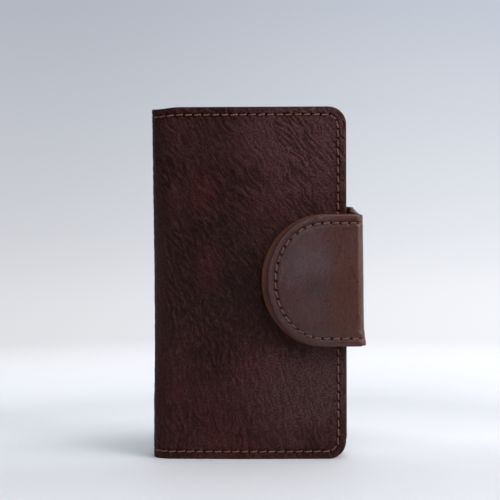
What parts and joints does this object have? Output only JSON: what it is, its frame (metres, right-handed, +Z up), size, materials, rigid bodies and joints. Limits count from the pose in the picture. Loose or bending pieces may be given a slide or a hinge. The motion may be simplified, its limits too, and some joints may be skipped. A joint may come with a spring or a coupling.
{
  "type": "phone wallet case",
  "caption": "Upright leather folio phone case with a rounded spine, a glued-in phone shell, card slots and a D-shaped magnetic closure flap that wraps the opening edge.",
  "frame": {"origin": "middle of the base of the closed case as it stands on its bottom edges, strap included", "axes": "+Z up along the spine, +X towards the opening edge and the strap, -Y towards the front cover that carries the flap"},
  "size_m": [0.0931, 0.0248, 0.156],
  "materials": {
    "cover_leather": "dark reddish-brown pull-up leather, waxed, with fine creased grain",
    "strap_leather": "smoother dark purplish-brown leather with a soft sheen",
    "lining_leather": "matt orange-brown leather with burnished edges",
    "pocket_leather": "thin dark brown leather, matt",
    "thread": "waxed rust-brown polyester thread",
    "shell_plastic": "black moulded plastic, fine matt texture",
    "adhesive": "double-sided foam pad",
    "magnet": "nickel-plated disc magnet",
    "steel": "plain steel disc"
  },
  "bodies": {
    "back_cover": {"back_cover_leather": "cover_leather", "back_lining": "lining_leather", "back_needle_thread": "thread", "back_bobbin_thread": "thread", "phone_shell": "shell_plastic", "shell_adhesive_pad": "adhesive", "strap_anchor_leather": "strap_leather", "anchor_thread": "thread"},
    "spine": {"spine_leather": "cover_leather", "spine_lining": "lining_leather", "spine_thread_top": "thread", "spine_thread_bottom": "thread"},
    "front_cover": {"front_cover_leather": "cover_leather", "front_lining": "lining_leather", "front_needle_thread": "thread", "front_bobbin_thread": "thread", "keeper_plate": "steel", "cash_pocket_panel": "pocket_leather", "card_slot_1": "pocket_leather", "card_slot_2": "pocket_leather", "card_slot_3": "pocket_leather", "card_slot_thread": "thread"},
    "strap_bridge": {"strap_bridge_leather": "strap_leather", "strap_bridge_lining": "lining_leather", "bridge_thread_top": "thread", "bridge_thread_bottom": "thread"},
    "flap": {"flap_leather": "strap_leather", "flap_lining": "lining_leather", "flap_magnet": "magnet", "flap_needle_thread": "thread", "flap_bobbin_thread": "thread"}
  },
  "joints": [
    {"name": "spine_fold", "type": "hinge", "parent": "back_cover", "child": "spine", "pos_m": [-0.04362, 0.00767, 0.078], "axis": [0, 0, -1], "range_deg": [0, 90], "deforming": ["flap_leather", "flap_lining", "flap_magnet", "flap_needle_thread", "flap_bobbin_thread"]},
    {"name": "cover_fold", "type": "hinge", "parent": "spine", "child": "front_cover", "pos_m": [-0.04362, -0.00647, 0.078], "axis": [0, 0, -1], "range_deg": [0, 90], "deforming": ["flap_leather", "flap_lining", "flap_magnet", "flap_needle_thread", "flap_bobbin_thread"]},
    {"name": "strap_fold", "type": "hinge", "parent": "back_cover", "child": "strap_bridge", "pos_m": [0.04152, 0.01166, 0.078], "axis": [0, 0, 1], "range_deg": [0, 77]},
    {"name": "flap_fold", "type": "hinge", "parent": "strap_bridge", "child": "flap", "pos_m": [0.04564, -0.01081, 0.078], "axis": [0, 0, 1], "range_deg": [0, 102]}
  ]
}
